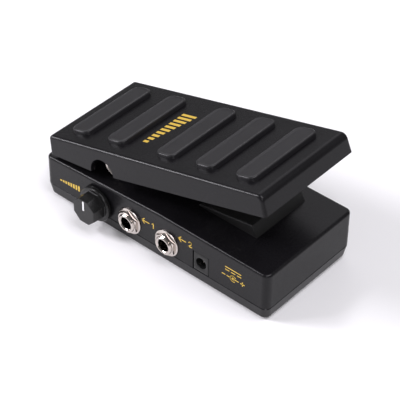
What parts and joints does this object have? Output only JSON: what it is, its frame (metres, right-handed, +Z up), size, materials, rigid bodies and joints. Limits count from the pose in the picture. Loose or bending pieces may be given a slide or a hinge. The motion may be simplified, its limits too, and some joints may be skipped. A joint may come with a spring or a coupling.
{
  "type": "volume pedal",
  "caption": "Compact rocker foot pedal with a ribbed treadle over a low enclosure, a boost knob, phone jacks and a power socket.",
  "frame": {"origin": "centre of the rubber sole's underside, under the middle of the enclosure", "axes": "+X from the heel end to the toe end, -Y out of the control wall, +Z up"},
  "size_m": [0.14, 0.0761, 0.0709],
  "materials": {
    "black_paint": "satin black paint on cast metal, fine orange peel",
    "black_rubber": "matte",
    "black_plastic": "glossy black",
    "white_plastic": "matte white line",
    "nylon": "natural nylon",
    "chrome_plate": "bright nickel and chrome plate",
    "zinc_plate": "zinc plated",
    "bright_steel": "bright drawn steel",
    "circuit_board": "green solder mask",
    "capacitor_can": "sleeved can",
    "gold_ink": "printed gold marks on the treadle and the control wall"
  },
  "bodies": {
    "base": {"amplifier_chip": "black_plastic", "base_shell": "black_paint", "boost_pot": "bright_steel", "boost_pot_nut": "zinc_plate", "boost_pot_washer": "zinc_plate", "bottom_cover": "black_paint", "bracket_screws": "zinc_plate", "capacitors": "capacitor_can", "cover_screws": "zinc_plate", "gear_cover": "black_plastic", "input_jack_1_housing": "black_plastic", "input_jack_1_sleeve": "chrome_plate", "input_jack_2_housing": "black_plastic", "input_jack_2_sleeve": "chrome_plate", "jack_nuts": "chrome_plate", "jack_washers": "chrome_plate", "main_board": "circuit_board", "output_board": "circuit_board", "output_jack_1_housing": "black_plastic", "output_jack_1_sleeve": "chrome_plate", "output_jack_2_housing": "black_plastic", "output_jack_2_sleeve": "chrome_plate", "pivot_bushes": "nylon", "pot_bracket": "bright_steel", "power_socket": "black_plastic", "power_socket_pin": "zinc_plate", "sole_mat": "black_rubber", "volume_pot": "bright_steel", "volume_pot_nut": "zinc_plate", "volume_pot_washer": "zinc_plate"},
    "treadle": {"treadle_shell": "black_paint", "heel_bumpers": "black_rubber", "toe_bumpers": "black_rubber", "pivot_axle": "bright_steel", "axle_clips": "chrome_plate", "sector_arm": "bright_steel", "sector_screws": "zinc_plate", "tread_pad_1": "black_rubber", "tread_pad_2": "black_rubber", "tread_pad_3": "black_rubber", "tread_pad_4": "black_rubber", "tread_pad_5": "black_rubber"},
    "pinion": {"drive_pinion": "nylon", "volume_pot_shaft": "bright_steel"},
    "knob": {"boost_knob": "black_plastic", "knob_pointer": "white_plastic", "boost_pot_shaft": "bright_steel"}
  },
  "joints": [
    {"name": "treadle_rock", "type": "hinge", "parent": "base", "child": "treadle", "pos_m": [-0.0311, 0, 0.0329], "axis": [0, 1, 0], "range_deg": [0, 17.5]},
    {"name": "pinion_spin", "type": "hinge", "parent": "base", "child": "pinion", "pos_m": [0.03313, -0.004, 0.02433], "axis": [0, 1, 0], "range_deg": [-222, 3]},
    {"name": "boost_knob_turn", "type": "hinge", "parent": "base", "child": "knob", "pos_m": [-0.0347, -0.035, 0.0139], "axis": [0, 1, 0], "range_deg": [-150, 150]}
  ],
  "couplings": [
    {"joint": "pinion_spin", "follows": "treadle_rock", "ratio": -12.5}
  ]
}
